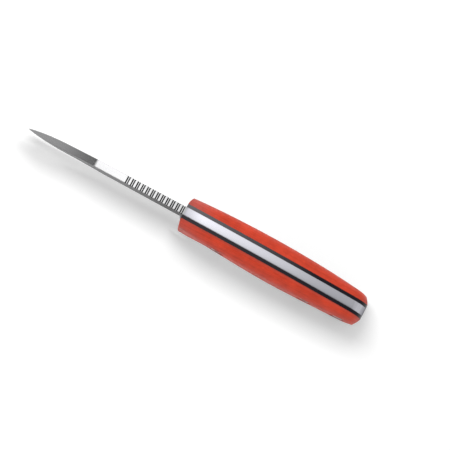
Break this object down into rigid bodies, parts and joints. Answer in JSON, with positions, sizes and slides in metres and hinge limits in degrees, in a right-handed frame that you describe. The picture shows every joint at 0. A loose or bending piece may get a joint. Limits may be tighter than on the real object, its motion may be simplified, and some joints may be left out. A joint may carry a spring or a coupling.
{
  "type": "hunting knife",
  "caption": "Full-tang hunting knife with a drop-point blade, thumb grooves on the spine and contoured scales over black liners.",
  "frame": {"origin": "middle of the bottom of the box round the knife, which is held spine up", "axes": "+X from the tip to the butt, +Y from the left scale to the right scale, +Z from the edge to the spine"},
  "size_m": [0.198, 0.0206, 0.0328],
  "materials": {
    "blade_steel": "satin",
    "liner_sheet": "matte",
    "scale_laminate": "satin",
    "screw_steel": "satin"
  },
  "bodies": {
    "root": {"blade": "blade_steel", "left_liner": "liner_sheet", "right_liner": "liner_sheet", "left_scale": "scale_laminate", "right_scale": "scale_laminate", "front_sleeve": "screw_steel", "rear_sleeve": "screw_steel", "front_screw_left": "screw_steel", "front_screw_right": "screw_steel", "rear_screw_left": "screw_steel", "rear_screw_right": "screw_steel", "lanyard_tube": "screw_steel"}
  },
  "joints": []
}
